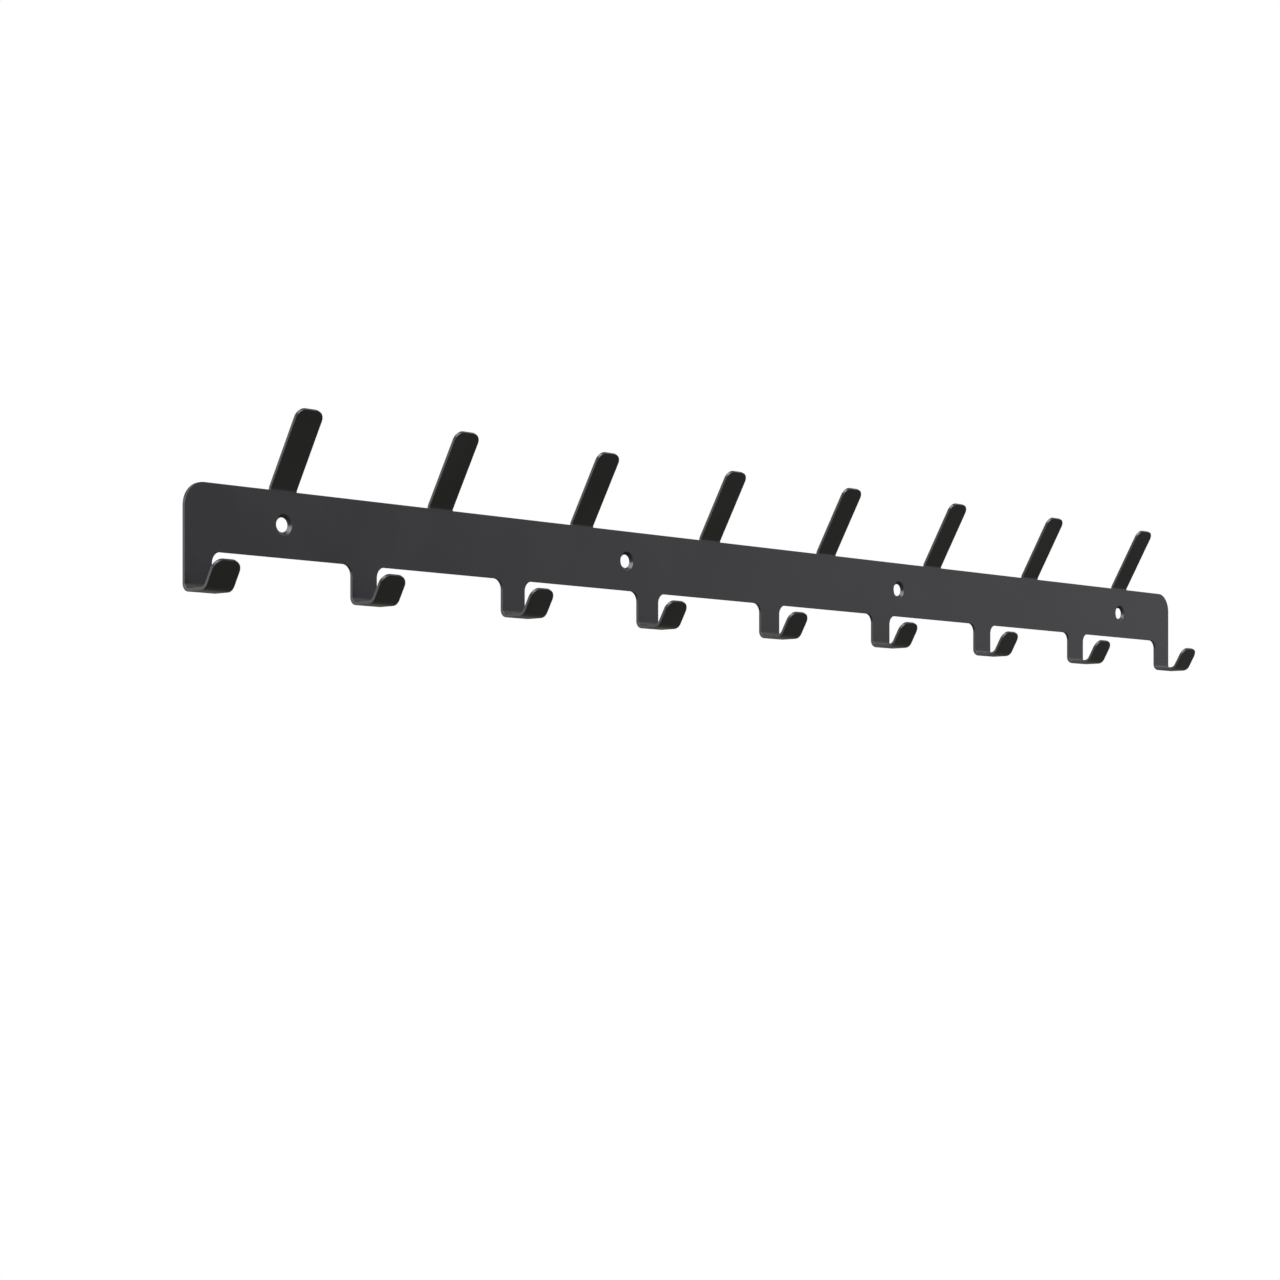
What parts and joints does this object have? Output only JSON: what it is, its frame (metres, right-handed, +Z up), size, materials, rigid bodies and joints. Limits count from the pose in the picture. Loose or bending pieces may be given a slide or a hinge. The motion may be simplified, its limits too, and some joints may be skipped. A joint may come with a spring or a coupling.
{
  "type": "wall hook rail",
  "caption": "Slim wall rail folded from one black powder-coated steel sheet: J-shaped coat hooks below, slanted hat pegs above, countersunk screw holes between.",
  "frame": {"origin": "on the wall face of the back plate, at the middle of its line of screw holes", "axes": "+X along the rail to the right as seen from the room, -Y out into the room, +Y into the wall, +Z up"},
  "size_m": [1, 0.029, 0.106],
  "materials": {
    "black_powder_coat": "fine matt powder coat, near black"
  },
  "bodies": {
    "root": {"back_plate": "black_powder_coat", "coat_hook_1": "black_powder_coat", "coat_hook_2": "black_powder_coat", "coat_hook_3": "black_powder_coat", "coat_hook_4": "black_powder_coat", "coat_hook_5": "black_powder_coat", "coat_hook_6": "black_powder_coat", "coat_hook_7": "black_powder_coat", "coat_hook_8": "black_powder_coat", "coat_hook_9": "black_powder_coat", "hat_peg_1": "black_powder_coat", "hat_peg_2": "black_powder_coat", "hat_peg_3": "black_powder_coat", "hat_peg_4": "black_powder_coat", "hat_peg_5": "black_powder_coat", "hat_peg_6": "black_powder_coat", "hat_peg_7": "black_powder_coat", "hat_peg_8": "black_powder_coat"}
  },
  "joints": []
}
